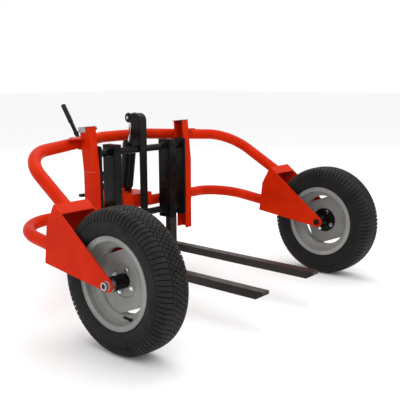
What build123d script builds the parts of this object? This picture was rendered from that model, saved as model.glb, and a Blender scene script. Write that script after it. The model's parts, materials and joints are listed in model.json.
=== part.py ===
from build123d import *
import math
import os

# Rough-terrain hand pallet truck with a pair of sliding forks. Millimetres, +Z up, forks towards -Y,
# left is -X. Lengths along Y are measured from the front axle and moved to the origin on export,
# which is the middle of the whole truck at floor level.

# Front wheels: 13 inch car tyres
TYRE_R = 284.0
TYRE_HALF_W = 72.5
WHEEL_X = 729.0
BEAD_R = 165.0
RIM_FLANGE_R = 182.0
RIM_HALF_W = 62.0
RIM_WELL_R = 135.0
RIM_SHEET = 4.0
DISC_FLAT_R = 114.0
DISC_TURN = 22.0
BOLT_TURN = 67.0
HUB_R = 29.0
HUB_FLANGE_R = 62.5
HUB_BOLT_PCD = 100.0
HUB_OUT = 64.0
HUB_IN = 72.0
AXLE_R = 10.0
AXLE_Z = TYRE_R
BEARING_R = 23.5
BEARING_W = 14.0
RUN = 0.05

# Wheel yokes, side profile as (Y, Z)
YOKE_HALF = 87.0
YOKE_PLATE = 6.0
YOKE_TOP = (306.0, 551.0)
YOKE_KNEE = (356.0, 461.0)
YOKE_HEEL = (376.0, 303.0)
YOKE_NOSE = (263.0, 518.0)
YOKE_TIP_R = 27.0

# Arch tubes
TUBE_R = 28.0
TUBE_WALL = 4.0
UPPER_MID = (139.0, 793.0, 743.0)
UPPER_CORNER = (709.0, 646.0, 710.0)
UPPER_END = (734.0, 320.0, 517.0)
UPPER_BENDS = [184.0, 209.0]
LOWER_CORNER = (724.0, 743.0, 386.0)
LOWER_END = (729.0, 366.0, 338.0)
LOWER_BENDS = [199.0]

# Mast columns: channels that open towards the middle
COLUMN_IN = 302.0
COLUMN_OUT = 347.0
COLUMN_SHEET = 6.0
COLUMN_FRONT = 624.0
COLUMN_DEPTH = 66.0
COLUMN_FOOT = 222.0
COLUMN_KINK = 599.0
COLUMN_TOP = (646.0, 812.0)

# Upper gusset, seen from above as (X, Y), between a column and the upper tube
UPPER_GUSSET = [(COLUMN_OUT, 672.0), (436.0, 672.0), (430.0, 690.0), (372.0, 752.0), (COLUMN_OUT, 752.0)]
GUSSET_Z = (752.0, 760.0)

# Carriage
BAR_R = 17.5
BAR_Y = 662.0
UPPER_BAR_Z = 680.0
LOWER_BAR_Z = 346.0
SIDE_IN = 288.0
SIDE_OUT = 300.0
SIDE_Y = (622.0, 700.0)
SIDE_Z = (300.0, 718.0)
ROLLER_X = (306.0, 334.0)
ROLLERS = {"upper": (665.5, 690.0, 17.0), "lower": (657.0, 346.0, 24.0)}
STUB_R = 9.0
STRAP_HALF = 23.0
STRAP_SHEET = 10.0
HOOK_PIN = (719.0, 838.0)
HOOK_PIN_R = 8.0
CHEEK_X = (18.5, 25.0)
CHEEK_REAR = 697.0
CHEEK_FOOT = 668.0
HOOK_TOP = 862.0
HOOK_CORNER_R = 40.0
LOBE_R = 25.0

# Forks
FORK_X = 194.0
FORK_HALF = 24.0
FORK_FRONT = 615.0
FORK_THICK = 37.0
FORK_UNDER = 128.0
FORK_TIP = -272.0
TIP_THICK = 16.0
TIP_TAPER = 37.0
CARRIER_HALF = 23.0
CARRIER_REAR = 700.0
CARRIER_Z = (300.0, 718.0)
CARRIER_WALL = 6.0
BUSH_R = 22.5
BUSH_LIP = 3.0

# Jack base: a folded box over the lower tube
BASE_HALF = 100.0
BASE_FRONT = 684.0
BASE_REAR = 820.0
BASE_Z = (385.0, 445.0)
BASE_SHEET = 6.0
EAR_X = (20.0, 30.0)

# Jack, laid out along its own axis from the foot pivot
FOOT_LUG_HALF = 18.0
JACK_FOOT = (775.0, 462.0)
CYL_R = 36.5
CYL_BORE_R = 30.0
CYL_FROM, CYL_TO = 18.0, 242.0
GLAND_TO = 256.0
ROD_R = 15.0
PISTON_AT = 122.0
PISTON_L = 28.0
EYE_R = 20.0
EYE_SLACK = 3.0
FOOT_PIN_R = 9.0

# Steering head and rear wheels
STEER_Y = 930.0
HOUSING_R = 45.0
HOUSING_BORE_R = 35.0
HOUSING_Z = (380.0, 450.0)
STEM_R = 30.0
CROWN_Z = (354.0, 372.0)
LEG_HALF_X = 18.0
REAR_R = 175.0
REAR_X = 77.5
REAR_HALF_W = 47.5
REAR_RIM_R = 95.0
REAR_AXLE_R = 10.0
HEAD_TOP = 479.0
HEAD_DISC_TOP = 459.0
PLUNGER_R = 10.0
CLEVIS_X = (27.0, 37.0)
PEDAL_PIVOT = (956.0, 457.0)
PEDAL_PIN_R = 5.0
PEDAL_X = (-64.0, -54.0)

# Pump handle in the middle plane: it pivots at the head and rises from a foot behind the pivot
HANDLE_PIVOT = (906.0, 489.0)
HANDLE_PIN_R = 6.0
HANDLE_FOOT = (1021.5, 520.0)
HANDLE_ANGLE = 54.85
HANDLE_R = 11.0
HANDLE_LEN = 450.7
GRIP_R = 13.5
GRIP_LEN = 113.0
GRIP_CAP = 4.0
GRIP_EDGE = 2.0
COLLAR_AT = 263.0
SOCKET_LEN = 100.0
SOCKET_R = 19.0
SOCKET_BARREL_R = 12.5
SOCKET_HALF = 26.0
SOCKET_CHEEK_X = (13.0, 18.0)
CAM_R = 8.0
CAM_HALF = 12.5
CAM_PIN_R = 3.0

# The origin: halfway between the front of the tyres and the rear end of the grip
HANDLE_REAR = (
    HANDLE_FOOT[0]
    + (HANDLE_LEN - GRIP_EDGE) * math.cos(math.radians(HANDLE_ANGLE))
    + GRIP_R * math.sin(math.radians(HANDLE_ANGLE))
)
ORIGIN_Y = (HANDLE_REAR - TYRE_R) / 2

SIDES = {"left": -1, "right": 1}
parts = {}


def rod_x(y, z, radius, x0, x1):
    """A round bar along X."""
    bar = Cylinder(radius, x1 - x0, align=(Align.CENTER, Align.CENTER, Align.MIN))
    return Location((x0, y, z)) * Rotation(0, 90, 0) * bar


def ring_x(y, z, outer, inner, x0, x1):
    """A tube along X."""
    return rod_x(y, z, outer, x0, x1) - rod_x(y, z, inner, x0, x1)


def rod_z(x, y, radius, z0, z1):
    """An upright round bar."""
    bar = Cylinder(radius, z1 - z0, align=(Align.CENTER, Align.CENTER, Align.MIN))
    return Location((x, y, z0)) * bar


def block(x, y, z):
    """A box from its limits along X, Y and Z."""
    size = [limits[1] - limits[0] for limits in (x, y, z)]
    return Location((x[0], y[0], z[0])) * Box(*size, align=(Align.MIN,) * 3)


def plate_yz(points, x0, x1):
    """A plate whose outline lies in the YZ plane, between two X positions."""
    face = Plane.YZ * make_face(Polyline(*points, close=True))
    return Location((x0, 0, 0)) * extrude(face, amount=x1 - x0, dir=(1, 0, 0))


def hexagon_x(y, z, flats, x0, x1):
    """A hexagon bar along X, as wide across its flats as stated."""
    face = Plane.YZ * RegularPolygon(flats / 2, 6, major_radius=False)
    return Location((x0, y, z)) * extrude(face, amount=x1 - x0, dir=(1, 0, 0))


def span(side, near, far):
    """An X interval on one side of the truck, in rising order."""
    return tuple(sorted((side * near, side * far)))


def mirrored(shape, side):
    """A shape built on the right, put on the given side."""
    return shape if side > 0 else mirror(shape, about=Plane.YZ)


def wheel_profile(points):
    """Turns an outline of (radius, outward offset) about the X axis."""
    face = make_face(Polyline(*[(u, r) for r, u in points], close=True))
    return revolve(face, axis=Axis.X)


def on_axle(shape, side):
    """Puts a front wheel piece, built about X with outward positive, on its axle."""
    return Location((side * WHEEL_X, 0, AXLE_Z)) * mirrored(shape, side)


def tangent_point(corner, radius, turn):
    """Where the line from a corner touches the round tip about the axle; turn picks the side."""
    dy, dz = corner[0], corner[1] - AXLE_Z
    reach = math.hypot(dy, dz)
    angle = math.atan2(dz, dy) + turn * math.acos(radius / reach)
    return radius * math.cos(angle), AXLE_Z + radius * math.sin(angle)


# --- Front wheels -------------------------------------------------------------------------------

def tyre():
    """A hollow car tyre: bead, side, shoulder and crown outside, then the air space inside."""
    outer = [(BEAD_R, 40), (BEAD_R, 57), (178, 58), (182, 60), (186, 62), (197, 67), (222, TYRE_HALF_W)]
    crown = [(246, 71), (266, 64), (277, 55), (282, 36), (TYRE_R, 14)]
    inner = [(274, 0), (272, 34), (262, 52), (244, 61), (222, 63), (197, 57), (180, 47), (171, 40)]
    right = outer + crown
    left = [(r, -u) for r, u in reversed(right)]
    hollow = [(r, -u) for r, u in reversed(inner)][:-1] + inner
    return wheel_profile(right + left + hollow)


def rim():
    """Barrel with flanges and well, and a dished disc whose four flats leave slots."""
    half = [(RIM_WELL_R, 0), (RIM_WELL_R, 14), (140, 18), (156, 25), (161, 33), (BEAD_R, 36)]
    half += [(BEAD_R, 57), (RIM_FLANGE_R - 4, 58), (RIM_FLANGE_R, RIM_HALF_W - 2)]
    under = [(RIM_FLANGE_R - 1, RIM_HALF_W), (173, RIM_HALF_W), (161, 60.5), (161, 38), (157, 36)]
    under += [(152, 27), (136, 21), (RIM_WELL_R - RIM_SHEET, 17), (RIM_WELL_R - RIM_SHEET, 0)]
    right = half + under
    barrel = wheel_profile(right[:-1] + [(r, -u) for r, u in reversed(right)][1:])
    front = [(HUB_R, 0), (62, 0), (69, 6), (75, 7), (84, 5), (104, 11), (RIM_WELL_R - RIM_SHEET, 13)]
    back = [(r, u - 5) for r, u in reversed(front)]
    disc = wheel_profile(front + back)
    for k in range(4):
        cutter = block((-20, 30), (DISC_FLAT_R, RIM_WELL_R + 20), (-70, 70))
        disc -= Rotation(180 - DISC_TURN - 90 * k, 0, 0) * cutter
    lip = wheel_profile([(HUB_R, 0), (HUB_R, -5), (HUB_R + 4, -5), (HUB_R + 4, 0)])
    holes = [rod_x(y, z, 6, -10, 10) for y, z in bolt_circle()]
    return barrel + disc + lip - holes


def bolt_circle():
    """Bolt centres of the hub as (Y, Z) about the axle."""
    turns = [math.radians(180 - BOLT_TURN - 90 * k) for k in range(4)]
    return [(HUB_BOLT_PCD / 2 * math.cos(a), HUB_BOLT_PCD / 2 * math.sin(a)) for a in turns]


def hub():
    body = rod_x(0, 0, HUB_R, -HUB_IN, HUB_OUT) + rod_x(0, 0, HUB_FLANGE_R, -15, -5)
    body -= rod_x(0, 0, 20, -HUB_IN, HUB_OUT)
    body -= rod_x(0, 0, BEARING_R, -HUB_IN, -HUB_IN + BEARING_W)
    body -= rod_x(0, 0, BEARING_R, HUB_OUT - BEARING_W, HUB_OUT)
    return body - [rod_x(y, z, 6, -20, 0) for y, z in bolt_circle()]


def hub_fasteners():
    """Four hub bolts from inside, with their nuts on the outer side of the disc."""
    bolts = []
    for y, z in bolt_circle():
        shank = rod_x(y, z, 6, -15, 14)
        bolts += [shank + hexagon_x(y, z, 18, -23, -15), hexagon_x(y, z, 18, 0, 10) - shank]
    return Compound(children=bolts)


def bearings():
    """Two ball bearings and their bright cover rings."""
    rings = []
    for start in (-HUB_IN, HUB_OUT - BEARING_W):
        rings.append(ring_x(0, 0, BEARING_R, AXLE_R + RUN, start, start + BEARING_W))
    rings.append(ring_x(0, 0, 25, 15, HUB_OUT, HUB_OUT + 3))
    rings.append(ring_x(0, 0, 25, 15, -HUB_IN - 3, -HUB_IN))
    return Compound(children=rings)


for name, side in SIDES.items():
    parts[f"front_tyre_{name}"] = on_axle(tyre(), side)
    parts[f"front_rim_{name}"] = on_axle(rim(), side)
    parts[f"front_hub_{name}"] = on_axle(hub(), side)
    parts[f"hub_fasteners_{name}"] = on_axle(hub_fasteners(), side)
    parts[f"hub_bearings_{name}"] = on_axle(bearings(), side)


# --- Wheel yokes --------------------------------------------------------------------------------

def yoke_outline():
    upper = tangent_point(YOKE_TOP, YOKE_TIP_R, 1)
    lower = tangent_point(YOKE_HEEL, YOKE_TIP_R, -1)
    edges = Polyline(lower, YOKE_HEEL, YOKE_KNEE, YOKE_TOP, upper)
    tip = ThreePointArc(upper, (-YOKE_TIP_R, AXLE_Z), lower)
    return make_face(edges + tip)


def yoke_plates(side):
    plates = []
    for offset in (-YOKE_HALF, YOKE_HALF - YOKE_PLATE):
        x0, x1 = span(side, WHEEL_X + offset, WHEEL_X + offset + YOKE_PLATE)
        plate = Location((x0, 0, 0)) * extrude(Plane.YZ * yoke_outline(), amount=YOKE_PLATE, dir=(1, 0, 0))
        plates.append(plate - rod_x(0, AXLE_Z, AXLE_R, x0, x1))
    return Compound(children=plates)


def yoke_back(side):
    """The bent plate between the side plates: a top strip, then down the back to the heel."""
    inner = YOKE_HALF - YOKE_PLATE
    skin = [YOKE_NOSE, YOKE_TOP, YOKE_KNEE, YOKE_HEEL]
    line = offset_line(skin, -YOKE_PLATE)
    return plate_yz(skin + line[::-1], *span(side, WHEEL_X - inner, WHEEL_X + inner))


def offset_line(points, distance):
    """The polyline moved sideways by a distance, to the left of its direction when positive."""
    steps = list(zip(points, points[1:]))
    headings = [math.atan2(b[1] - a[1], b[0] - a[0]) for a, b in steps]
    headings = [headings[0]] + headings + [headings[-1]]
    moved = []
    for (y, z), before, after in zip(points, headings, headings[1:]):
        middle = (before + after) / 2
        reach = distance / math.cos((after - before) / 2)
        moved.append((y - reach * math.sin(middle), z + reach * math.cos(middle)))
    return moved


for name, side in SIDES.items():
    parts[f"yoke_side_plates_{name}"] = yoke_plates(side)
    parts[f"yoke_back_plate_{name}"] = yoke_back(side)


# --- Arch tubes ---------------------------------------------------------------------------------

def round_along(points, bends, radius):
    """A bent round bar through points given on the right, outermost last, and mirrored."""
    left = [(-x, y, z) for x, y, z in reversed(points)]
    path = FilletPolyline(*left, *points, radius=bends[::-1] + bends)
    return sweep(Plane(path @ 0, z_dir=path % 0) * Circle(radius), path=path)


yoke_solids = [
    plate_yz([YOKE_NOSE, YOKE_TOP, YOKE_KNEE, YOKE_HEEL, (0, AXLE_Z)],
             *span(side, WHEEL_X - YOKE_HALF, WHEEL_X + YOKE_HALF))
    for side in SIDES.values()
]
upper_line = [UPPER_MID, UPPER_CORNER, UPPER_END], UPPER_BENDS
lower_line = [LOWER_CORNER, LOWER_END], LOWER_BENDS
upper_round = round_along(*upper_line, TUBE_R)
lower_round = round_along(*lower_line, TUBE_R)
parts["upper_arch_tube"] = upper_round - round_along(*upper_line, TUBE_R - TUBE_WALL) - yoke_solids
parts["lower_arch_tube"] = lower_round - round_along(*lower_line, TUBE_R - TUBE_WALL) - yoke_solids


# --- Mast columns -------------------------------------------------------------------------------

lean = math.atan2(COLUMN_TOP[0] - COLUMN_FRONT, COLUMN_TOP[1] - COLUMN_KINK)
front_line = [(COLUMN_FRONT, COLUMN_FOOT), (COLUMN_FRONT, COLUMN_KINK), COLUMN_TOP]


column_outline = front_line + offset_line(front_line, -COLUMN_DEPTH)[::-1]


def column(side):
    """A folded channel: web outside, flanges front and rear, kinked back near its top."""
    solid = plate_yz(column_outline, *span(side, COLUMN_IN, COLUMN_OUT))
    stretch = [(front_line[0][0], COLUMN_FOOT - 50), front_line[1],
               (COLUMN_TOP[0] + 50 * math.sin(lean), COLUMN_TOP[1] + 50 * math.cos(lean))]
    inside_front = offset_line(stretch, -COLUMN_SHEET)
    inside_rear = offset_line(stretch, COLUMN_SHEET - COLUMN_DEPTH)
    room = plate_yz(inside_front + inside_rear[::-1], *span(side, COLUMN_IN - 5, COLUMN_OUT - COLUMN_SHEET))
    return solid - room


def leaning_plate(side, x, along, up):
    """A plate on a column's leaning top: limits along the top edge and up from it."""
    piece = block(span(side, *x), along, up)
    return Location((0, COLUMN_TOP[0], COLUMN_TOP[1]), (-math.degrees(lean), 0, 0)) * piece


for name, side in SIDES.items():
    parts[f"mast_column_{name}"] = column(side)

top_plates = []
for side in SIDES.values():
    top = leaning_plate(side, (COLUMN_IN - 6, COLUMN_OUT + 3), (-3, COLUMN_DEPTH + 8), (0, 3))
    flange = leaning_plate(side, (COLUMN_OUT, COLUMN_OUT + 3), (22, COLUMN_DEPTH + 8), (-24, 0))
    top_plates.append(top + flange)
parts["column_top_plates"] = Compound(children=top_plates)


def gussets():
    """Flat gussets that tie the tubes to the columns, and saddles that fill the gap behind them."""
    pieces = []
    for side in SIDES.values():
        flat = make_face(Polyline(*UPPER_GUSSET, close=True))
        flat = Location((0, 0, GUSSET_Z[0])) * extrude(flat, amount=GUSSET_Z[1] - GUSSET_Z[0])
        upper = mirrored(flat, side)
        lower = block(span(side, COLUMN_OUT, 392), (664, 730), (368, 376))
        saddle_x = span(side, COLUMN_IN + 8, COLUMN_OUT - 5)
        saddles = [
            block(saddle_x, (682, 734), (700, 748)),
            block(saddle_x, (COLUMN_FRONT + COLUMN_DEPTH, 738), (366, 402)),
        ]
        column_room = plate_yz(column_outline, *span(side, COLUMN_IN - 5, COLUMN_OUT))
        for piece in [upper, lower] + saddles:
            pieces.append(piece - column_room - upper_round - lower_round)
    return Compound(children=pieces)


parts["mast_gussets"] = gussets()


# --- Jack base and steering head ----------------------------------------------------------------

def jack_base():
    """A folded box over the lower tube, with two ears for the jack's foot pin."""
    outer = block((-BASE_HALF, BASE_HALF), (BASE_FRONT, BASE_REAR), BASE_Z)
    inner = block(
        (-BASE_HALF + BASE_SHEET, BASE_HALF - BASE_SHEET),
        (BASE_FRONT + BASE_SHEET, BASE_REAR - BASE_SHEET),
        (BASE_Z[0], BASE_Z[1] - BASE_SHEET),
    )
    box = outer - inner - lower_round
    foot_y, foot_z = JACK_FOOT
    for side in SIDES.values():
        x = span(side, *EAR_X)
        box += block(x, (foot_y - 16, foot_y + 16), (BASE_Z[1], foot_z)) + rod_x(foot_y, foot_z, 16, *x)
    return box - rod_x(foot_y, foot_z, FOOT_PIN_R, -BASE_HALF, BASE_HALF)


def steer_housing():
    """The upright bearing tube behind the jack base, on two arms."""
    tube = rod_z(0, STEER_Y, HOUSING_R, *HOUSING_Z)
    for side in SIDES.values():
        tube += block(span(side, 30, 42), (BASE_REAR, STEER_Y), (BASE_Z[0] + 3, BASE_Z[1]))
    tube += block((-42, 42), (BASE_REAR, STEER_Y), (BASE_Z[1] - 8, BASE_Z[1]))
    return tube - rod_z(0, STEER_Y, HOUSING_BORE_R, *HOUSING_Z)


def steer_bushes():
    rings = []
    for z0, z1 in ((HOUSING_Z[0], HOUSING_Z[0] + 22), (HOUSING_Z[1] - 22, HOUSING_Z[1])):
        rings.append(rod_z(0, STEER_Y, HOUSING_BORE_R, z0, z1) - rod_z(0, STEER_Y, STEM_R + RUN, z0, z1))
    return Compound(children=rings)


parts["jack_base_bracket"] = jack_base()
parts["steer_housing"] = steer_housing()
parts["steer_bushes"] = steer_bushes()
parts["jack_base_pin"] = rod_x(*JACK_FOOT, FOOT_PIN_R, -34, 34)

# --- Front axles --------------------------------------------------------------------------------

bolts = []
hardware = []
for side in SIDES.values():
    shank = rod_x(0, AXLE_Z, AXLE_R, *span(side, WHEEL_X - YOKE_HALF, WHEEL_X + 104))
    head = hexagon_x(0, AXLE_Z, 28, *span(side, WHEEL_X - YOKE_HALF - 11, WHEEL_X - YOKE_HALF))
    bolts.append(shank + head)
    for x, radius in (((YOKE_HALF, YOKE_HALF + 3), 18), ((67.5, 81), 14), ((-81, -75.5), 14)):
        ends = span(side, WHEEL_X + x[0], WHEEL_X + x[1])
        hardware.append(ring_x(0, AXLE_Z, radius, AXLE_R, *ends))
    nut_ends = span(side, WHEEL_X + YOKE_HALF + 3, WHEEL_X + YOKE_HALF + 19)
    nut = hexagon_x(0, AXLE_Z, 30, *nut_ends) & rod_x(0, AXLE_Z, 16.6, *nut_ends)
    hardware.append(nut - rod_x(0, AXLE_Z, AXLE_R, *nut_ends))
parts["wheel_axle_bolts"] = Compound(children=bolts)
parts["axle_hardware"] = Compound(children=hardware)


# --- Carriage -----------------------------------------------------------------------------------

for name, z in (("upper", UPPER_BAR_Z), ("lower", LOWER_BAR_Z)):
    parts[f"carriage_{name}_bar"] = rod_x(BAR_Y, z, BAR_R, -SIDE_IN, SIDE_IN)

stubs = []
for name, side in SIDES.items():
    plate = block(span(side, SIDE_IN, SIDE_OUT), SIDE_Y, SIDE_Z)
    corners = plate.edges().filter_by(Axis.X)
    plate = fillet(corners, 12)
    for y, z, _ in ROLLERS.values():
        plate -= rod_x(y, z, STUB_R, *span(side, SIDE_IN, SIDE_OUT))
        end = ring_x(y, z, 13, 5, *span(side, ROLLER_X[1] + 0.5, ROLLER_X[1] + 3.5))
        stub = rod_x(y, z, STUB_R, *span(side, SIDE_IN, ROLLER_X[1] + 3.5))
        collar = ring_x(y, z, 14, STUB_R, *span(side, SIDE_OUT, ROLLER_X[0] - 0.5))
        stubs.append(stub + end + collar)
    parts[f"carriage_side_plate_{name}"] = plate
parts["roller_stub_axles"] = Compound(children=stubs)

for level, (y, z, radius) in ROLLERS.items():
    for name, side in SIDES.items():
        roller = ring_x(y, z, radius, STUB_R + RUN, *span(side, *ROLLER_X))
        parts[f"guide_roller_{level}_{name}"] = chamfer(roller.edges().filter_by(GeomType.CIRCLE).group_by(
            SortBy.RADIUS)[-1], 1.5)


def hook_strap():
    """The flat bar up the front of the carriage that bends over the rod pin."""
    front = BAR_Y - BAR_R - STRAP_SHEET
    centre = front + HOOK_CORNER_R, HOOK_TOP - HOOK_CORNER_R
    upright = block((-STRAP_HALF, STRAP_HALF), (front, front + STRAP_SHEET), (LOWER_BAR_Z - 26, centre[1]))
    over_z = (HOOK_TOP - STRAP_SHEET, HOOK_TOP)
    over = block((-STRAP_HALF, STRAP_HALF), (centre[0], HOOK_PIN[0] - 20), over_z)
    ring = ring_x(*centre, HOOK_CORNER_R, HOOK_CORNER_R - STRAP_SHEET, -STRAP_HALF, STRAP_HALF)
    quarter = block((-STRAP_HALF, STRAP_HALF), (front, centre[0]), (centre[1], HOOK_TOP))
    return upright + over + (ring & quarter)


def hook_cheeks():
    """Two cheek plates that carry the rod pin behind the strap."""
    front = BAR_Y - BAR_R
    radius = HOOK_CORNER_R - STRAP_SHEET
    under_strap = HOOK_TOP - STRAP_SHEET
    cheeks = []
    for side in SIDES.values():
        x = span(side, *CHEEK_X)
        body = block(x, (front, CHEEK_REAR), (CHEEK_FOOT, under_strap - radius))
        body += block(x, (front + radius, HOOK_PIN[0]), (HOOK_PIN[1] - 18, under_strap))
        body += rod_x(front + radius, under_strap - radius, radius, *x)
        body += rod_x(*HOOK_PIN, LOBE_R, *x)
        body -= rod_x(*HOOK_PIN, HOOK_PIN_R, *x)
        body -= rod_x(BAR_Y, UPPER_BAR_Z, BAR_R, *x)
        cheeks.append(body - strap)
    return Compound(children=cheeks)


strap = hook_strap()
parts["hook_strap"] = strap
parts["hook_cheeks"] = hook_cheeks()
pin = rod_x(*HOOK_PIN, HOOK_PIN_R, -34, 31)
parts["hook_pin"] = chamfer(pin.edges().filter_by(GeomType.CIRCLE), 1.5)


# --- Forks --------------------------------------------------------------------------------------

def fork(side):
    """An L-shaped fork bar whose tip tapers from below."""
    top = FORK_UNDER + FORK_THICK
    rear = FORK_FRONT + FORK_THICK
    outline = [
        (rear, FORK_UNDER + 8), (rear, CARRIER_Z[0]), (FORK_FRONT, CARRIER_Z[0]), (FORK_FRONT, top),
        (FORK_TIP, top), (FORK_TIP, top - TIP_THICK), (FORK_TIP + TIP_TAPER, FORK_UNDER),
        (rear - 8, FORK_UNDER),
    ]
    return plate_yz(outline, *span(side, FORK_X - FORK_HALF, FORK_X + FORK_HALF))


def carrier(side):
    """The upright box section welded on the fork, bored for the two bars' bushes."""
    x = span(side, FORK_X - CARRIER_HALF, FORK_X + CARRIER_HALF)
    wall = CARRIER_WALL
    box = block(x, (FORK_FRONT, CARRIER_REAR), CARRIER_Z)
    room = block((x[0] + wall, x[1] - wall), (FORK_FRONT + wall, CARRIER_REAR - wall),
                 (CARRIER_Z[0] + wall, CARRIER_Z[1] - wall))
    return box - room - [rod_x(BAR_Y, z, BUSH_R, *x) for z in (UPPER_BAR_Z, LOWER_BAR_Z)]


def bushes(side):
    """The two slide bushes in the carrier, one on each carriage bar."""
    x = span(side, FORK_X - CARRIER_HALF - BUSH_LIP, FORK_X + CARRIER_HALF + BUSH_LIP)
    heights = (UPPER_BAR_Z, LOWER_BAR_Z)
    return Compound(children=[ring_x(BAR_Y, z, BUSH_R, BAR_R + RUN, *x) for z in heights])


for name, side in SIDES.items():
    parts[f"fork_{name}"] = fork(side)
    parts[f"fork_carrier_{name}"] = carrier(side)
    parts[f"fork_bushes_{name}"] = bushes(side)

# --- Jack ---------------------------------------------------------------------------------------

jack_rise = (HOOK_PIN[0] - JACK_FOOT[0], HOOK_PIN[1] - JACK_FOOT[1])
JACK_LEN = math.hypot(*jack_rise)
JACK_TILT = math.degrees(math.atan2(-jack_rise[0], jack_rise[1]))
jack_place = Location((0, *JACK_FOOT), (JACK_TILT, 0, 0))


def cylinder():
    body = rod_z(0, 0, CYL_R, CYL_FROM, CYL_TO) - rod_z(0, 0, CYL_BORE_R, CYL_FROM + 12, CYL_TO)
    lug = block((-FOOT_LUG_HALF, FOOT_LUG_HALF), (-14, 14), (0, CYL_FROM)) + rod_x(
        0, 0, 14, -FOOT_LUG_HALF, FOOT_LUG_HALF)
    return body + lug - rod_x(0, 0, FOOT_PIN_R + RUN, -FOOT_LUG_HALF, FOOT_LUG_HALF)


def gland():
    """The screwed-in head of the cylinder, with a hexagon collar on top."""
    plug = rod_z(0, 0, CYL_BORE_R, CYL_TO - 6, CYL_TO) + rod_z(0, 0, CYL_R - 1.5, CYL_TO, GLAND_TO)
    plug = chamfer(plug.edges().group_by(Axis.Z)[-1], 3)
    return plug - rod_z(0, 0, ROD_R + RUN, CYL_TO - 6, GLAND_TO)


def rod():
    bar = rod_z(0, 0, ROD_R, PISTON_AT + PISTON_L, JACK_LEN - 12)
    bar += rod_z(0, 0, CYL_BORE_R - RUN, PISTON_AT, PISTON_AT + PISTON_L)
    eye = rod_x(0, JACK_LEN, EYE_R, -ROD_R, ROD_R)
    return bar + eye - rod_x(0, JACK_LEN, HOOK_PIN_R + EYE_SLACK, -ROD_R, ROD_R)


parts["jack_cylinder"] = jack_place * cylinder()
parts["jack_gland"] = jack_place * gland()
parts["jack_rod"] = jack_place * rod()


# --- Rear swivel fork and wheels ------------------------------------------------------------------

def steer_fork():
    """Stem, crown and the single leg between the rear wheels, with the handle's clevis on top."""
    head_z = (HOUSING_Z[1] + 1, HEAD_DISC_TOP)
    body = rod_z(0, STEER_Y, STEM_R, CROWN_Z[1], head_z[0])
    body += rod_z(0, STEER_Y, HOUSING_R, *CROWN_Z)
    body += rod_z(0, STEER_Y, HOUSING_R + 2, *head_z)
    leg_y = (STEER_Y - 30, STEER_Y + 30)
    body += block((-LEG_HALF_X, LEG_HALF_X), leg_y, (REAR_R, CROWN_Z[0]))
    body += rod_x(STEER_Y, REAR_R, 30, -LEG_HALF_X, LEG_HALF_X)
    for side in SIDES.values():
        x = span(side, *CLEVIS_X)
        body += block(x, (HANDLE_PIVOT[0] - 14, STEER_Y + 12), (head_z[1], HANDLE_PIVOT[1]))
        body += rod_x(*HANDLE_PIVOT, 14, *x)
    body += block((-48, -40), (PEDAL_PIVOT[0] - 10, PEDAL_PIVOT[0] + 10), (head_z[0], PEDAL_PIVOT[1] + 8))
    body += rod_x(*PEDAL_PIVOT, PEDAL_PIN_R, PEDAL_X[0] - 3, -44)
    body -= rod_x(*HANDLE_PIVOT, HANDLE_PIN_R, -40, 40)
    body -= rod_x(STEER_Y, REAR_R, REAR_AXLE_R, -LEG_HALF_X, LEG_HALF_X)
    return body - rod_z(0, STEER_Y, PLUNGER_R + RUN, CROWN_Z[1] + 8, head_z[1])


def rear_tyre(side):
    centre = side * REAR_X
    half = REAR_HALF_W
    outline = [(REAR_RIM_R, 34), (108, 41), (135, half), (156, half - 1), (168, 38), (REAR_R, 22)]
    right = outline + [(r, -u) for r, u in reversed(outline)]
    return Location((centre, STEER_Y, REAR_R)) * wheel_profile(right)


def rear_rim(side):
    """A pressed two-part rim with its plain bearing bush."""
    rim_body = wheel_profile([
        (REAR_RIM_R, -34), (REAR_RIM_R, 34), (REAR_RIM_R - 5, 34), (REAR_RIM_R - 8, 12),
        (50, 4), (24, 6), (24, 30), (18, 30), (18, -30), (24, -30), (24, -6), (50, -4),
        (REAR_RIM_R - 8, -12), (REAR_RIM_R - 5, -34),
    ])
    bush = ring_x(0, 0, 18, REAR_AXLE_R + RUN, -30, 30)
    place = Location((side * REAR_X, STEER_Y, REAR_R))
    return Compound(children=[place * rim_body, place * bush])


def rear_axle():
    """The rear axle bar, two spacers beside the leg, and a washer and nut at each end."""
    inner_end = REAR_X - 30.5
    outer_end = REAR_X + 30.5
    pieces = [rod_x(STEER_Y, REAR_R, REAR_AXLE_R, -outer_end - 18, outer_end + 18)]
    for side in SIDES.values():
        pieces.append(ring_x(STEER_Y, REAR_R, 15, REAR_AXLE_R, *span(side, LEG_HALF_X, inner_end)))
        pieces.append(ring_x(STEER_Y, REAR_R, 18, REAR_AXLE_R, *span(side, outer_end, outer_end + 3)))
        nut = hexagon_x(STEER_Y, REAR_R, 28, *span(side, outer_end + 3, outer_end + 15))
        pieces.append(nut - rod_x(STEER_Y, REAR_R, REAR_AXLE_R, *span(side, outer_end, outer_end + 18)))
    return Compound(children=pieces)


parts["steer_fork"] = steer_fork()
parts["rear_axle"] = rear_axle()
for name, side in SIDES.items():
    parts[f"rear_tyre_{name}"] = rear_tyre(side)
    parts[f"rear_rim_{name}"] = rear_rim(side)


# --- Handle, plunger and pedal ------------------------------------------------------------------

handle_place = Location((0, *HANDLE_FOOT), (HANDLE_ANGLE - 90, 0, 0))


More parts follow.
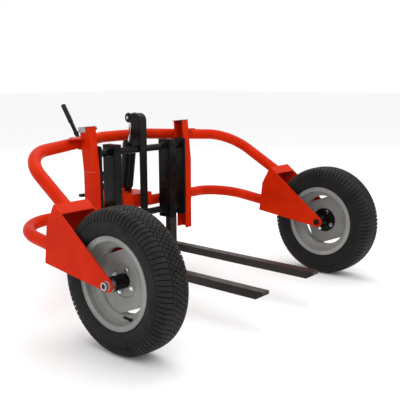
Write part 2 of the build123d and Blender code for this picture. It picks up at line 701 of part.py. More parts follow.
def handle_socket():
    """Pivot barrel, two cheeks that carry the socket behind it, and the cam roller on the plunger."""
    y, z = HANDLE_PIVOT
    foot_y, foot_z = HANDLE_FOOT
    cam_y, cam_z = STEER_Y, HEAD_TOP + CAM_R
    body = rod_x(y, z, SOCKET_BARREL_R, -SOCKET_HALF, SOCKET_HALF)
    socket = rod_z(0, 0, SOCKET_R, 0, SOCKET_LEN) - rod_z(0, 0, HANDLE_R, 10, SOCKET_LEN)
    body += handle_place * socket
    under = [(y - 4, z - 8), (cam_y + 6, z - 8), (cam_y + 18, z + 10), (cam_y + 44, z + 20),
             (foot_y - 12, foot_z - 14)]
    over = [(foot_y + 12, foot_z + 8), (foot_y + 6, foot_z + 34), (foot_y - 24, foot_z + 26), (y - 4, z + 10)]
    outline = under + over
    for side in SIDES.values():
        body += plate_yz(outline, *span(side, *SOCKET_CHEEK_X))
    body -= rod_x(y, z, HANDLE_PIN_R + RUN, -SOCKET_HALF, SOCKET_HALF)
    body -= handle_place * rod_z(0, 0, HANDLE_R, 10, SOCKET_LEN)
    body -= rod_x(cam_y, cam_z, CAM_R + 1, -CAM_HALF - 0.3, CAM_HALF + 0.3)
    body -= rod_x(cam_y, cam_z, CAM_PIN_R, -20, 20)
    cam = rod_x(cam_y, cam_z, CAM_R, -CAM_HALF, CAM_HALF) + rod_x(cam_y, cam_z, CAM_PIN_R, -20, 20)
    return Compound(children=[body, cam])


def handle_bar():
    """A straight bar with a collar where its two lengths join."""
    bar = rod_z(0, 0, HANDLE_R, 10, HANDLE_LEN - GRIP_CAP)
    collar = rod_z(0, 0, HANDLE_R + 3, COLLAR_AT - 8, COLLAR_AT + 8)
    return handle_place * (bar + chamfer(collar.edges().filter_by(GeomType.CIRCLE), 2))


def handle_grip():
    grip = rod_z(0, 0, GRIP_R, HANDLE_LEN - GRIP_LEN, HANDLE_LEN)
    grip = chamfer(grip.edges().filter_by(GeomType.CIRCLE), GRIP_EDGE)
    return handle_place * (grip - rod_z(0, 0, HANDLE_R, HANDLE_LEN - GRIP_LEN, HANDLE_LEN - GRIP_CAP))


def release_pedal():
    """The lowering pedal on the left of the steering head."""
    y, z = PEDAL_PIVOT
    arm = plate_yz([(y, z + 8), (y + 76, z - 38), (y + 76, z - 54), (y - 4, z - 8)], *PEDAL_X)
    pad = block((PEDAL_X[0] - 28, PEDAL_X[1]), (y + 74, y + 100), (z - 57, z - 41))
    boss = rod_x(y, z, 10, *PEDAL_X)
    return arm + pad + boss - rod_x(y, z, PEDAL_PIN_R + RUN, *PEDAL_X)


parts["handle_socket"] = handle_socket()
parts["handle_bar"] = handle_bar()
parts["handle_grip"] = handle_grip()
parts["handle_pin"] = rod_x(*HANDLE_PIVOT, HANDLE_PIN_R, -42, 42)
parts["pump_plunger"] = rod_z(0, STEER_Y, PLUNGER_R, 410, HEAD_TOP - 0.3)
parts["release_pedal"] = release_pedal()


os.makedirs("parts", exist_ok=True)
for name, part in parts.items():
    export_step(Location((0, -ORIGIN_Y, 0)) * part, f"parts/{name}.step")
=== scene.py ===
import json
import math

import bmesh
import bpy
import numpy as np
from mathutils import Matrix, Vector


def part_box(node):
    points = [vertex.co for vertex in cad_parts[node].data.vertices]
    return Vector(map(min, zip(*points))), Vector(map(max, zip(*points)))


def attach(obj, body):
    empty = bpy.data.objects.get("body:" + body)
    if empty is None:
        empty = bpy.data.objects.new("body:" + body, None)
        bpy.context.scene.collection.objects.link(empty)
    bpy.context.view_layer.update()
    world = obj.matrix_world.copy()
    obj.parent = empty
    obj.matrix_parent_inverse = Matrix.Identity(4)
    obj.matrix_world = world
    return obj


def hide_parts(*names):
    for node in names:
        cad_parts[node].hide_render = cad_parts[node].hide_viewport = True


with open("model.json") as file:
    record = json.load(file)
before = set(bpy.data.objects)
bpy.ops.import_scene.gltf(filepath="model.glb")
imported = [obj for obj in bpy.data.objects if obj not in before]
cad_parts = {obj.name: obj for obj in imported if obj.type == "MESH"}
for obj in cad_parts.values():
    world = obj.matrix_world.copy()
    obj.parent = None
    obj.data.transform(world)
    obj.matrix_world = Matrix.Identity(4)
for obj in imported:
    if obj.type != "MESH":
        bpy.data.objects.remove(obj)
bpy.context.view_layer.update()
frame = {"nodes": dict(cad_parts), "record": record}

SIDES = {"left": -1, "right": 1}


def centre(node):
    low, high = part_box(node)
    return (low + high) / 2


# The front axle line is the datum that the pieces and the camera are set out from.
AXLE_Y = centre("front_hub_left").y
AXLE_Z = 0.284
WHEEL_X = 0.729


def at(x, y, z):
    """A point in metres from millimetres measured from the front axle line at floor level."""
    return Vector((x / 1000, AXLE_Y + y / 1000, z / 1000))


# --- Materials ----------------------------------------------------------------------------------

class Finish:
    """A material built on the principled shader, with helpers for its procedural detail."""

    def __init__(self, name, **values):
        self.material = bpy.data.materials.new(name)
        self.material.use_nodes = True
        self.tree = self.material.node_tree
        self.shader = self.tree.nodes["Principled BSDF"]
        self.coords = self.tree.nodes.new("ShaderNodeTexCoord")
        for socket, value in values.items():
            self.shader.inputs[socket.replace("_", " ")].default_value = value

    def noise(self, scale, detail=3.0, stretch=(1, 1, 1), rough=0.5):
        mapping = self.tree.nodes.new("ShaderNodeMapping")
        mapping.inputs["Scale"].default_value = stretch
        texture = self.tree.nodes.new("ShaderNodeTexNoise")
        texture.inputs["Scale"].default_value = scale
        texture.inputs["Detail"].default_value = detail
        texture.inputs["Roughness"].default_value = rough
        self.tree.links.new(self.coords.outputs["Object"], mapping.inputs["Vector"])
        self.tree.links.new(mapping.outputs["Vector"], texture.inputs["Vector"])
        return texture.outputs[0]

    def cells(self, scale):
        texture = self.tree.nodes.new("ShaderNodeTexVoronoi")
        texture.inputs["Scale"].default_value = scale
        self.tree.links.new(self.coords.outputs["Object"], texture.inputs["Vector"])
        return texture.outputs["Distance"]

    def ramp(self, source, *stops):
        node = self.tree.nodes.new("ShaderNodeValToRGB")
        elements = node.color_ramp.elements
        while len(elements) < len(stops):
            elements.new(0.5)
        for element, (place, value) in zip(elements, stops):
            element.position = place
            element.color = (*value, 1) if isinstance(value, tuple) else (value, value, value, 1)
        self.tree.links.new(source, node.inputs["Fac"])
        return node.outputs["Color"]

    def mix(self, share, a, b):
        node = self.tree.nodes.new("ShaderNodeMix")
        node.data_type = "RGBA"
        for socket, value in (("Factor_Float", share), ("A_Color", a), ("B_Color", b)):
            found = next(s for s in node.inputs if s.identifier == socket)
            if isinstance(value, tuple):
                found.default_value = (*value, 1)
            else:
                self.tree.links.new(value, found)
        return next(s for s in node.outputs if s.identifier == "Result_Color")

    def feed(self, socket, source):
        self.tree.links.new(source, self.shader.inputs[socket])

    def bump(self, *layers):
        """Layers of (height, strength, distance in metres), each on top of the one before."""
        last = None
        for height, strength, distance in layers:
            node = self.tree.nodes.new("ShaderNodeBump")
            node.inputs["Strength"].default_value = strength
            node.inputs["Distance"].default_value = distance
            self.tree.links.new(height, node.inputs["Height"])
            if last:
                self.tree.links.new(last, node.inputs["Normal"])
            last = node.outputs["Normal"]
        self.feed("Normal", last)
        return self.material


def paint(name, deep, plain, pale, rough, coat, peel=0.12, dust=None, sheen=0.1):
    """Sprayed paint: slow changes of tone, uneven gloss and a fine orange-peel surface."""
    finish = Finish(name, Coat_Weight=coat, Coat_Roughness=0.06, Specular_IOR_Level=sheen)
    tone = finish.ramp(finish.noise(7, 4), (0.3, deep), (0.52, plain), (0.75, pale))
    if dust:
        specks = finish.ramp(finish.noise(160, 6, rough=0.7), (0.6, 0.0), (0.72, 1.0))
        tone = finish.mix(specks, tone, dust)
    finish.feed("Base Color", tone)
    low, high = rough
    finish.feed("Roughness", finish.ramp(finish.noise(23, 5), (0.3, low), (0.7, high)))
    return finish.bump((finish.noise(14, 2), 0.06, 0.002), (finish.noise(420, 2), peel, 0.0006))


def scratched_paint(name):
    """Black paint with fine lengthwise scratches and a brownish handling film."""
    finish = Finish(name, Specular_IOR_Level=0.25)
    base = finish.ramp(finish.noise(6, 4), (0.3, (0.009, 0.007, 0.006)), (0.7, (0.022, 0.016, 0.013)))
    lines = finish.noise(30, 8, (14, 0.6, 14), 0.75)
    marks = finish.ramp(lines, (0.63, 0.0), (0.74, 1.0))
    finish.feed("Base Color", finish.mix(marks, base, (0.06, 0.05, 0.044)))
    finish.feed("Roughness", finish.ramp(finish.noise(40, 6), (0.3, 0.26), (0.7, 0.46)))
    return finish.bump((lines, 0.12, 0.0006), (finish.noise(420, 2), 0.12, 0.0005))


def rubber(name, dark, light, rough, grain=900):
    """Matt rubber with uneven tone and a fine grain."""
    finish = Finish(name, Specular_IOR_Level=0.16)
    tone = finish.ramp(finish.noise(9, 6, rough=0.65), (0.3, dark), (0.75, light))
    finish.feed("Base Color", tone)
    finish.feed("Roughness", finish.ramp(finish.noise(30, 5), (0.3, rough[0]), (0.7, rough[1])))
    return finish.bump((finish.noise(60, 4), 0.15, 0.001), (finish.noise(grain, 3), 0.35, 0.0004))


def bare_metal(name, dark, light, rough, cell=260, grain=(1, 1, 1)):
    """Plated or bare metal: a fine crystal pattern and light machining grain."""
    finish = Finish(name, Metallic=1.0)
    pattern = finish.mix(finish.noise(90, 5, grain), dark, light)
    finish.feed("Base Color", pattern)
    finish.feed("Roughness", finish.ramp(finish.cells(cell), (0.1, rough[0]), (0.8, rough[1])))
    return finish.bump((finish.noise(500, 3, grain), 0.12, 0.0003))


MATERIALS = {
    "orange_paint": paint("orange_paint", (0.48, 0.014, 0.001), (0.55, 0.019, 0.0015), (0.62, 0.026, 0.002),
                          (0.26, 0.4), 0.025, sheen=0.03),
    "black_paint": paint("black_paint", (0.003, 0.0027, 0.0025), (0.006, 0.0052, 0.005), (0.01, 0.009, 0.008),
                         (0.2, 0.34), 0.05, 0.16, (0.014, 0.012, 0.011)),
    "silver_paint": paint("silver_paint", (0.21, 0.21, 0.20), (0.25, 0.25, 0.24), (0.30, 0.30, 0.285),
                          (0.36, 0.5), 0.08, 0.2, (0.36, 0.36, 0.35), 0.25),
    "tyre": rubber("tyre", (0.0045, 0.004, 0.004), (0.012, 0.011, 0.0105), (0.48, 0.7)),
    "tread": rubber("tread", (0.008, 0.0075, 0.007), (0.022, 0.0205, 0.0185), (0.5, 0.75)),
    "zinc": bare_metal("zinc", (0.30, 0.31, 0.31), (0.62, 0.63, 0.62), (0.22, 0.42)),
    "chrome": bare_metal("chrome", (0.66, 0.67, 0.69), (0.84, 0.85, 0.86), (0.06, 0.14), 60),
    "bronze": bare_metal("bronze", (0.36, 0.23, 0.10), (0.56, 0.38, 0.18), (0.25, 0.42)),
    "grip_rubber": rubber("grip_rubber", (0.007, 0.006, 0.006), (0.022, 0.018, 0.016), (0.4, 0.6), 1400),
    "fork_paint": scratched_paint("fork_paint"),
    "weld_paint": paint("weld_paint", (0.44, 0.014, 0.001), (0.55, 0.022, 0.003), (0.64, 0.034, 0.005),
                        (0.25, 0.4), 0.08, 0.5),
    # Pale paint for the kink beads: a painted highlight along the column's kink edge, lighter than the weld's
    # own paint.
    "pale_weld": paint("pale_weld", (0.60, 0.06, 0.04), (0.70, 0.14, 0.10), (0.78, 0.26, 0.2),
                       (0.3, 0.45), 0.1, 0.5),
    "galvanised": bare_metal("galvanised", (0.10, 0.11, 0.11), (0.62, 0.64, 0.62), (0.25, 0.5),
                             90, (0.6, 0.6, 0.6)),
    "dark_steel": bare_metal("dark_steel", (0.05, 0.048, 0.046), (0.12, 0.115, 0.11), (0.3, 0.5)),
}

slot_of = {p["node"]: p["material_slot"] for p in frame["record"]["subparts"]}
body_of_node = {n: b for b, members in frame["record"]["behaviour"]["bodies"].items() for n in members}


def dress(piece, material):
    piece.data.materials.clear()
    piece.data.materials.append(MATERIALS[material])


for node, piece in frame["nodes"].items():
    dress(piece, slot_of[node])
for name in SIDES:
    dress(frame["nodes"][f"fork_{name}"], "fork_paint")
    dress(frame["nodes"][f"hub_fasteners_{name}"], "chrome")
    dress(frame["nodes"][f"fork_bushes_{name}"], "dark_steel")
    for level in ("upper", "lower"):
        dress(frame["nodes"][f"guide_roller_{level}_{name}"], "dark_steel")
dress(frame["nodes"]["roller_stub_axles"], "dark_steel")
dress(frame["nodes"]["column_top_plates"], "galvanised")


# --- Mesh helpers -------------------------------------------------------------------------------

def add_piece(name, verts, faces, body, slot, material=None, sharp=50):
    """A new mesh in metres in the object's frame, riding a body, with edges over an angle kept sharp."""
    mesh = bpy.data.meshes.new(name)
    mesh.from_pydata([tuple(v) for v in verts], [], faces)
    bm = bmesh.new()
    bm.from_mesh(mesh)
    bmesh.ops.recalc_face_normals(bm, faces=bm.faces)
    set_smooth(bm, sharp)
    bm.to_mesh(mesh)
    bm.free()
    piece = bpy.data.objects.new(name, mesh)
    bpy.context.collection.objects.link(piece)
    dress(piece, material or slot)
    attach(piece, body)
    return piece


def set_smooth(bm, sharp):
    for face in bm.faces:
        face.smooth = True
    for edge in bm.edges:
        edge.smooth = len(edge.link_faces) == 2 and edge.calc_face_angle(0) < math.radians(sharp)


def soften(node, width, corner=35, segments=2):
    """Shows a CAD node as a copy whose sharp edges are rounded."""
    source = frame["nodes"][node]
    bm = bmesh.new()
    bm.from_mesh(source.data)
    bmesh.ops.remove_doubles(bm, verts=bm.verts, dist=2e-6)
    bmesh.ops.dissolve_limit(bm, angle_limit=math.radians(0.6), verts=bm.verts, edges=bm.edges)
    sharp = [e for e in bm.edges if len(e.link_faces) == 2 and e.calc_face_angle(0) > math.radians(corner)]
    bmesh.ops.bevel(bm, geom=sharp, offset=width / 1000, offset_type="OFFSET", segments=segments,
                    profile=0.5, affect="EDGES", clamp_overlap=False)
    set_smooth(bm, 48)
    mesh = bpy.data.meshes.new(node + "_soft")
    bm.to_mesh(mesh)
    bm.free()
    piece = bpy.data.objects.new(node + "_soft", mesh)
    bpy.context.collection.objects.link(piece)
    weighted = piece.modifiers.new("weighted", "WEIGHTED_NORMAL")
    weighted.keep_sharp = True
    mesh.materials.append(source.data.materials[0])
    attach(piece, body_of_node[node])
    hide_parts(node)
    return piece


def sweep_rings(rings, close_path=False):
    """Faces that join rings of the same number of points, with caps unless the path is closed."""
    count = len(rings[0])
    verts = [p for ring in rings for p in ring]
    faces = []
    steps = len(rings) if close_path else len(rings) - 1
    for i in range(steps):
        a, b = i * count, (i + 1) % len(rings) * count
        for j in range(count):
            k = (j + 1) % count
            faces.append((a + j, a + k, b + k, b + j))
    if not close_path:
        faces.append(tuple(range(count))[::-1])
        faces.append(tuple(range(len(verts) - count, len(verts))))
    return verts, faces


def spaced(points, step, closed):
    """The polyline resampled at an even step."""
    line = [Vector(p) for p in points] + ([Vector(points[0])] if closed else [])
    reach = np.cumsum([0] + [(b - a).length for a, b in zip(line, line[1:])])
    count = max(3, round(reach[-1] / step))
    marks = np.linspace(0, reach[-1], count + 1)[: count if closed else None]
    axes = [np.interp(marks, reach, [p[k] for p in line]) for k in range(3)]
    return [Vector(p) for p in zip(*axes)]


def bead(points, radius, closed=False, pitch=4.0, sides=8):
    """A weld bead along points in metres: a round run of overlapping ripples."""
    path = spaced(points, pitch / 4000, closed)
    rings = []
    for i, point in enumerate(path):
        before = path[i - 1] if i or closed else point
        after = path[(i + 1) % len(path)] if i + 1 < len(path) or closed else point
        along = (after - before).normalized()
        if rings:
            across = (across - across.dot(along) * along).normalized()
        else:
            across = along.orthogonal().normalized()
        other = along.cross(across)
        swell = radius / 1000 * (0.86 + 0.16 * math.sin(i * math.pi / 2) + 0.05 * math.sin(i * 0.9))
        if not closed and i in (0, len(path) - 1):
            swell *= 0.4
        turns = [2 * math.pi * k / sides for k in range(sides)]
        rings.append([point + swell * (math.cos(a) * across + math.sin(a) * other) for a in turns])
    return sweep_rings(rings, closed)


def joined(shapes):
    """Several shapes of (points, faces) as one."""
    verts, faces = [], []
    for more_verts, more_faces in shapes:
        start = len(verts)
        verts += more_verts
        faces += [tuple(start + i for i in face) for face in more_faces]
    return verts, faces


def lathe(profile, foot, along, steps=40):
    """Turns a closed outline of (radius, distance) points in mm about a direction through a foot."""
    across = along.orthogonal().normalized()
    other = along.cross(across)
    rings = []
    for k in range(steps):
        a = 2 * math.pi * k / steps
        out = math.cos(a) * across + math.sin(a) * other
        rings.append([foot + (along * d + out * r) / 1000 for r, d in profile])
    return sweep_rings(rings, True)


def button(radius, length, edge=1.0):
    """The outline of a round stud with a rounded end, for lathe()."""
    return [(0.01, 0), (radius, 0), (radius, length - edge), (radius - edge * 0.3, length - edge * 0.3),
            (radius - edge, length), (0.01, length)]


# --- Tyres --------------------------------------------------------------------------------------

class Casing:
    """A tyre's outer section: arc length from the crown gives a point and its outward normal."""

    def __init__(self, points):
        knots = np.array([(-points[1][0], points[1][1])] + points + [points[-1]], float)
        fine = []
        for p0, p1, p2, p3 in zip(knots, knots[1:], knots[2:], knots[3:]):
            for t in np.linspace(0, 1, 12, endpoint=False):
                fine.append(0.5 * (2 * p1 + (p2 - p0) * t + (2 * p0 - 5 * p1 + 4 * p2 - p3) * t * t
                                   + (3 * p1 - p0 - 3 * p2 + p3) * t ** 3))
        fine = np.array(fine + [knots[-1]])
        steps = np.hypot(*np.diff(fine, axis=0).T)
        keep = np.concatenate([[True], steps > 1e-9])
        self.line = fine[keep]
        self.arc = np.concatenate([[0], np.cumsum(np.hypot(*np.diff(self.line, axis=0).T))])
        slope = np.gradient(self.line, self.arc, axis=0)
        self.normal = np.stack([-slope[:, 1], slope[:, 0]], 1)

    def spot(self, s, t, depth, crown):
        """The point at arc s and circumferential length t, sunk by a depth."""
        side = -1 if s < 0 else 1
        u, r, nu, nr = (np.interp(abs(s), self.arc, column) for column in (*self.line.T, *self.normal.T))
        u, r = u - depth * nu, r - depth * nr
        return Vector((side * u, r * math.cos(t / crown), r * math.sin(t / crown))) / 1000


def block_mesh(casing, crown, stations, chamfer=1.1, flare=1.0):
    """A tread block through stations of (arc, lower edge, upper edge, groove depth)."""
    first, last = stations[0], stations[-1]
    way = 1 if last[0] > first[0] else -1

    def ring(s, low, high, depth, top, edge):
        foot = depth + 0.6
        section = [(low - flare, foot), (low, top + edge), (low + edge, top),
                   (high - edge, top), (high, top + edge), (high + flare, foot)]
        return [casing.spot(s, t, d, crown) for t, d in section]

    def end(station, way_in):
        s, low, high, depth = station
        sunk = ring(s - way_in * flare, low, high, depth, depth + 0.6 - 0.01, 0.0)
        return [sunk, ring(s, low, high, depth, chamfer, chamfer * 0.5)]

    rings = end(first, way)
    rings.append(ring(first[0] + way * chamfer, *first[1:], 0, chamfer))
    rings += [ring(*station, 0, chamfer) for station in stations[1:-1]]
    rings.append(ring(last[0] - way * chamfer, *last[1:], 0, chamfer))
    rings += end(last, -way)[::-1]
    return sweep_rings(rings)


TREAD_DEPTH = 7.0
CROWN = 284.0
PITCHES = 84
SHOULDER = 97.0


def groove(s):
    """How deep the tread's grooves are at an arc length: full on the crown, fading down the shoulder."""
    arcs = [0, 66, 88, SHOULDER, SHOULDER + 3]
    return float(np.interp(abs(s), arcs, [TREAD_DEPTH, TREAD_DEPTH, 4.2, 1.6, 0]))


def sidewall_relief(s):
    """Rings on the sidewall as a depth below the plain surface, which is negative where they stand proud."""
    rings = [(106, 2.2, -0.9), (113, 1.2, 0.6), (132, 1.4, -0.7), (148, 1.2, -0.8), (152, 1.2, -0.8),
             (163, 2.0, -0.9)]
    return sum(h * math.exp(-(((abs(s) - centre) / width) ** 2)) for centre, width, h in rings)


# Outer section of the front tyre as (half width, radius), from the crown to the bead
CAR_SECTION = [(0, CROWN), (14, 283.9), (30, 283.2), (44, 281.4), (54, 277.5), (61, 271), (66.5, 262),
               (70, 250), (72.2, 236), (72.5, 222), (71, 208), (67.5, 196), (62.5, 187), (60, 183),
               (58.5, 179), (57.6, 172), (57, 165.2)]


def car_tyre():
    """The casing with its groove floor and the raised rings of the sidewall."""
    casing = Casing(CAR_SECTION)
    end = casing.arc[-1]
    marks = np.concatenate([np.arange(0, 64, 4.0), np.arange(64, end, 1.5), [end]])
    outer = [(s, groove(s) + sidewall_relief(s)) for s in marks]
    inner = [(41, 165), (40, 171), (47, 180), (57, 197), (62.5, 222), (60, 244), (51, 262), (34, 271),
             (0, 272)]
    steps = PITCHES * 4
    rings = []
    for k in range(steps):
        t = 2 * math.pi * CROWN * k / steps
        turn = Vector((0, math.cos(t / CROWN), math.sin(t / CROWN)))
        right = [casing.spot(s, t, depth, CROWN) for s, depth in outer]
        left = [casing.spot(-s, t, depth, CROWN) for s, depth in outer[:0:-1]]
        hollow = [Vector((u, 0, 0)) / 1000 + turn * r / 1000 for u, r in inner]
        hollow += [Vector((-u, 0, 0)) / 1000 + turn * r / 1000 for u, r in inner[-2::-1]]
        rings.append(left + right + hollow)
    return sweep_rings(rings, True)


# Half width of a block as a share of the pitch, over its stations: its ends are pointed, so that
# neighbouring columns, half a pitch apart, leave zigzag grooves between them.
COLUMNS = [
    [(-1.3, 0.06), (2.7, 0.41), (7, 0.42), (11.3, 0.41), (15.3, 0.06)],
    [(13.1, 0.06), (17.1, 0.41), (21, 0.42), (25.6, 0.41), (29.6, 0.06)],
    [(27.4, 0.06), (31.4, 0.41), (36, 0.42), (42, 0.42), (49, 0.42), (56, 0.415), (62, 0.41), (68, 0.405),
     (74, 0.40), (80, 0.39), (86, 0.38), (91, 0.36), (95.5, 0.33)],
]


def lean(s):
    """How far the blocks' centre lines run round the tyre at an arc length: slanted one way, then back."""
    return float(np.interp(s, [-2, 14.2, 28.4, 40, 70, SHOULDER], [-1.2, 8.5, 0, 2.2, 6.5, 8.5]))


def tread_blocks():
    """Every tread block of a front tyre, pitch by pitch, on both sides of the crown."""
    casing = Casing(CAR_SECTION)
    pitch = 2 * math.pi * CROWN / PITCHES
    shapes = []
    for k in range(PITCHES):
        for side in (-1, 1):
            for number, column in enumerate(COLUMNS):
                middle = (k + 0.5 * (number % 2) + (0.5 if side > 0 else 0)) * pitch
                stations = []
                for s, share in column:
                    line, half = middle + lean(s), share * pitch
                    stations.append((side * s, line - half, line + half, groove(s)))
                shapes.append(block_mesh(casing, CROWN, stations, 0.7, 0.4))
    return joined(shapes)


REAR_R = 175.0


def rear_tyre():
    """A solid rubber tyre with plain circumferential grooves."""
    section = [(0, REAR_R), (12, REAR_R), (22, 174.8), (31, 172.5), (38, 168), (44, 160), (46.8, 150),
               (47.5, 137), (46, 122), (41.5, 108), (37, 100), (34, 95.2)]
    casing = Casing(section)
    end = casing.arc[-1]
    marks = np.arange(0, end, 1.2)
    cuts = [(6, 1.9), (17, 1.9), (28, 1.7)]

    def depth(s):
        grooves = sum(4.0 * math.exp(-(((s - c) / w) ** 6)) for c, w in cuts)
        sidewall_ring = 0.7 * math.exp(-(((s - 62) / 1.6) ** 2))
        return grooves - sidewall_ring

    outer = [(s, depth(s)) for s in marks] + [(end, 0)]
    steps = 128
    rings = []
    for k in range(steps):
        t = 2 * math.pi * REAR_R * k / steps
        left = [casing.spot(-s, t, d, REAR_R) for s, d in outer[:0:-1]]
        right = [casing.spot(s, t, d, REAR_R) for s, d in outer]
        rings.append(left + right)
    return sweep_rings(rings, True)


def moved(shape, place, flip=False):
    """A shape moved to a place, and turned half round the upright axis if it is flipped."""
    verts, faces = shape
    sign = -1 if flip else 1
    return [Vector((sign * v.x, sign * v.y, v.z)) + place for v in verts], faces


front_shape = car_tyre()
block_shape = tread_blocks()
rear_shape = rear_tyre()
for name, side in SIDES.items():
    place = Vector((side * WHEEL_X, AXLE_Y, AXLE_Z))
    tyre = add_piece(f"front_casing_{name}", *moved(front_shape, place, side < 0),
                     f"front_wheel_{name}", "tyre", sharp=38)
    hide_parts(f"front_tyre_{name}")
    add_piece(f"front_tread_{name}", *moved(block_shape, place, side < 0),
              f"front_wheel_{name}", "tyre", "tread", sharp=32)
    tyre = add_piece(f"rear_tyre_tread_{name}", *moved(rear_shape, centre(f"rear_tyre_{name}")),
                     f"rear_wheel_{name}", "tyre", sharp=38)
    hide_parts(f"rear_tyre_{name}")


# --- Rounded copies of the sheet and bar work ---------------------------------------------------

SOFT_EDGES = {
    1.0: ["yoke_side_plates_left", "yoke_side_plates_right", "yoke_back_plate_left", "yoke_back_plate_right",
          "carriage_side_plate_left", "carriage_side_plate_right", "column_top_plates", "jack_base_bracket",
          "steer_housing", "hook_cheeks", "hub_fasteners_left", "hub_fasteners_right", "axle_hardware",
          "wheel_axle_bolts", "release_pedal"],
    1.6: ["fork_left", "fork_right", "hook_strap", "mast_column_left", "mast_column_right",
          "fork_carrier_left", "fork_carrier_right"],
}
for width, nodes in SOFT_EDGES.items():
    for node in nodes:
        soften(node, width)


# --- Welds --------------------------------------------------------------------------------------

# In mm from the front axle line: the yoke's folded back plate as (Y, Z), the straight ends of the two
# arch tubes as their last corner and end, and the outer face and kink of the mast columns
YOKE_SKIN = [(263, 518), (306, 551), (356, 461), (376, 303)]
UPPER_TUBE = ((709, 646, 710), (734, 320, 517))
LOWER_TUBE = ((724, 743, 386), (729, 366, 338))
TUBE_R = 28
YOKE_X = 729
YOKE_SEAM = 81
COLUMN_OUT = 347
COLUMN_KINK = 599


def meets_skin(start, along):
    """Where a line first meets the yoke's folded back plate, travelling along its direction."""
    best = None
    for (y0, z0), (y1, z1) in zip(YOKE_SKIN, YOKE_SKIN[1:]):
        dy, dz = y1 - y0, z1 - z0
        cross = along.y * dz - along.z * dy
        if abs(cross) < 1e-9:
            continue
        reach = ((y0 - start.y) * dz - (z0 - start.z) * dy) / cross
        share = ((y0 - start.y) * along.z - (z0 - start.z) * along.y) / cross
        if -0.02 <= share <= 1.02 and reach > 0 and (best is None or reach < best):
            best = reach
    return best


def tube_ring(corner, end, side):
    """The line around a straight tube end where it meets the yoke's skin."""
    a, b = Vector(corner), Vector(end)
    along = (b - a).normalized()
    across = along.orthogonal().normalized()
    other = along.cross(across)
    start = b - along * 260
    points = []
    for k in range(72):
        angle = 2 * math.pi * k / 72
        spot = start + (TUBE_R + 0.5) * (math.cos(angle) * across + math.sin(angle) * other)
        reach = meets_skin(spot, along)
        if reach is not None:
            spot = spot + along * (reach - 0.5)
            points.append(at(side * spot.x, spot.y, spot.z))
    return points


welds = []
for side in SIDES.values():
    for tube in (UPPER_TUBE, LOWER_TUBE):
        welds.append(bead(tube_ring(*tube, side), 3.4, True))
    for offset in (-YOKE_SEAM, YOKE_SEAM):
        seam = [at(side * (YOKE_X + offset), y, z) for y, z in YOKE_SKIN]
        welds.append(bead(seam, 1.5, pitch=5))
    for x, front, rear, z, radius in ((COLUMN_OUT, 674, 702, 760.5, 3.0), (COLUMN_OUT, 674, 702, 751.5, 2.6),
                                      (COLUMN_OUT + 0.3, 666, 688, 376.5, 3.0)):
        welds.append(bead([at(side * x, front, z), at(side * x, rear, z)], radius))
    welds.append(bead([at(side * 30, 821, 445.4), at(side * -8, 821, 445.4)], 2.6))
add_piece("frame_welds", *joined(welds), "frame", "orange_paint", "weld_paint")

kinks = []
for side in SIDES.values():
    line = [(330, 623.8), (COLUMN_OUT - 0.4, 624.2), (COLUMN_OUT, 689)]
    kinks.append(bead([at(side * x, y, COLUMN_KINK) for x, y in line], 1.2, pitch=5))
# The kink beads wear the pale paint, a painted highlight along the column's kink edge.
add_piece("kink_welds", *joined(kinks), "frame", "orange_paint", "pale_weld")


# --- Small pieces -------------------------------------------------------------------------------

# Rolled edge and inner step of a rim flange, as (radius, distance from the wheel's middle)
RIM_LIPS = [
    [(177, 61), (177, 63.4), (178.4, 64.8), (180.6, 64.8), (182, 63.4), (182, 61)],
    [(160, 59), (160.6, 61.6), (162, 62.4), (163.6, 61.6), (164, 59)],
]

VALVE_TURN = math.radians(-66)
CARRIER_X = 194
SCREW_HEIGHTS = (356, 690)

for name, side in SIDES.items():
    # Bump stop at the top of the column
    stop = lathe(button(7, 11, 2), at(side * 302, 655, 801.5), Vector((-side, 0, 0)))
    add_piece(f"bump_stop_{name}", *stop, "frame", "grip_rubber")

    # Valve stem through the rim, with its cap
    spoke = Vector((0, -math.cos(VALVE_TURN), math.sin(VALVE_TURN)))
    hub = Vector((side * WHEEL_X, AXLE_Y, AXLE_Z))
    out = Vector((side, 0, 0))
    foot = hub + (24 * out + 151 * spoke) / 1000
    along = (out * 0.82 - spoke * 0.57).normalized()
    stem = [(0.01, -5), (7.5, -5), (8, 2), (6.0, 6), (5.2, 22), (4.4, 24), (4.4, 26), (5.4, 26.5), (5.6, 28),
            (5.6, 37), (4.8, 39), (0.01, 39)]
    add_piece(f"valve_stem_{name}", *lathe(stem, foot, along), f"front_wheel_{name}", "grip_rubber")

    # Lips on both flanges of the rim
    lips = []
    for way in (-1, 1):
        for ring in RIM_LIPS:
            lips.append(lathe(ring, hub, Vector((way, 0, 0)), 96))
    add_piece(f"rim_lips_{name}", *joined(lips), f"front_wheel_{name}", "silver_paint")

    # Set screws in the front of the fork carrier
    screws = []
    for z in SCREW_HEIGHTS:
        head = [(0.01, -1), (6, -1), (6, 3.6), (5.2, 4.4), (3.2, 4.4), (3.0, 1.2), (0.01, 1.2)]
        screws.append(lathe(head, at(side * CARRIER_X, 615, z), Vector((0, -1, 0)), 32))
    add_piece(f"set_screws_{name}", *joined(screws), f"fork_slide_{name}", "black_paint")


# --- Handle grip --------------------------------------------------------------------------------

HANDLE_FOOT = (1021.5, 520.0)
HANDLE_TURN = math.radians(54.85)
HANDLE_LEN = 450.7
GRIP_LEN = 113.0


def grip_profile():
    """A sleeve with fine ridges between two plain collars, over the end of the bar."""
    start, end = HANDLE_LEN - GRIP_LEN, HANDLE_LEN
    line = [(11.05, start), (13.2, start), (13.5, start + 1), (13.5, start + 8)]
    place = start + 9
    while place < end - 12:
        line += [(12.7, place), (12.7, place + 1.2), (13.4, place + 1.8), (13.4, place + 3.4)]
        place += 4.0
    line += [(13.5, end - 10), (13.5, end - 2.4), (12.8, end - 0.8), (11.2, end), (0.01, end)]
    return line + [(0.01, end - 3.9), (11.05, end - 3.9)]


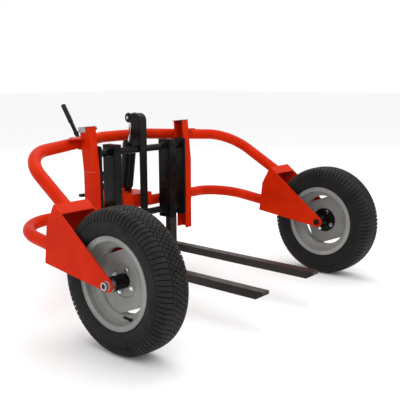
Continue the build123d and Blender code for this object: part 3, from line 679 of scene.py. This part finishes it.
handle_line = Vector((0, math.cos(HANDLE_TURN), math.sin(HANDLE_TURN)))
sleeve = lathe(grip_profile(), at(0, *HANDLE_FOOT), handle_line)
grip = add_piece("grip_sleeve", *sleeve, "handle", "grip_rubber")
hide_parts("handle_grip")


# --- Camera, floor and light --------------------------------------------------------------------

CAMERA_TURN = (-48.86, 10.24, -0.26)
CAMERA_FROM_AXLE = (-2.387, -1.828, 1.034)
LENS_MM = 60.68


def add_camera():
    """The camera stands about a metre up, ahead of the left front wheel, and looks slightly down."""
    azimuth, pitch, roll = (math.radians(a) for a in CAMERA_TURN)
    right = Vector((math.cos(azimuth), math.sin(azimuth), 0))
    back = Vector((math.sin(azimuth) * math.cos(pitch), -math.cos(azimuth) * math.cos(pitch),
                   math.sin(pitch)))
    up = back.cross(right)
    turned_right = math.cos(roll) * right + math.sin(roll) * up
    turned_up = -math.sin(roll) * right + math.cos(roll) * up
    data = bpy.data.cameras.new("camera")
    data.lens = LENS_MM
    data.sensor_width = 36.0
    camera = bpy.data.objects.new("camera", data)
    turn = Matrix((turned_right, turned_up, back)).transposed().to_4x4()
    x, y, z = CAMERA_FROM_AXLE
    camera.matrix_world = Matrix.Translation((x, AXLE_Y + y, z)) @ turn
    bpy.context.collection.objects.link(camera)
    bpy.context.scene.camera = camera


def add_floor():
    size = 40
    mesh = bpy.data.meshes.new("floor")
    corners = [(-size, -size, 0), (size, -size, 0), (size, size, 0), (-size, size, 0)]
    mesh.from_pydata(corners, [], [(0, 1, 2, 3)])
    floor = bpy.data.objects.new("floor", mesh)
    bpy.context.collection.objects.link(floor)
    finish = Finish("floor_white", Base_Color=(0.93, 0.93, 0.93, 1), Roughness=0.9)
    mesh.materials.append(finish.material)


def add_light(name, place, target, size, power):
    data = bpy.data.lights.new(name, "AREA")
    data.shape = "RECTANGLE"
    data.size, data.size_y = size
    data.energy = power
    light = bpy.data.objects.new(name, data)
    direction = Vector(target) - Vector(place)
    light.matrix_world = Matrix.Translation(place) @ direction.to_track_quat("-Z", "Y").to_matrix().to_4x4()
    bpy.context.collection.objects.link(light)


add_camera()
add_floor()
add_light("key", (-2.6, -4.2, 5.2), (0, 0, 0.3), (3.2, 3.2), 60)
add_light("top", (1.0, 0.5, 4.5), (0, 0, 0.2), (4, 4), 90)
world = bpy.data.worlds.new("studio")
world.use_nodes = True
world.node_tree.nodes["Background"].inputs["Color"].default_value = (1, 1, 1, 1)
world.node_tree.nodes["Background"].inputs["Strength"].default_value = 1.0
bpy.context.scene.world = world
bpy.context.scene.view_settings.view_transform = "Standard"
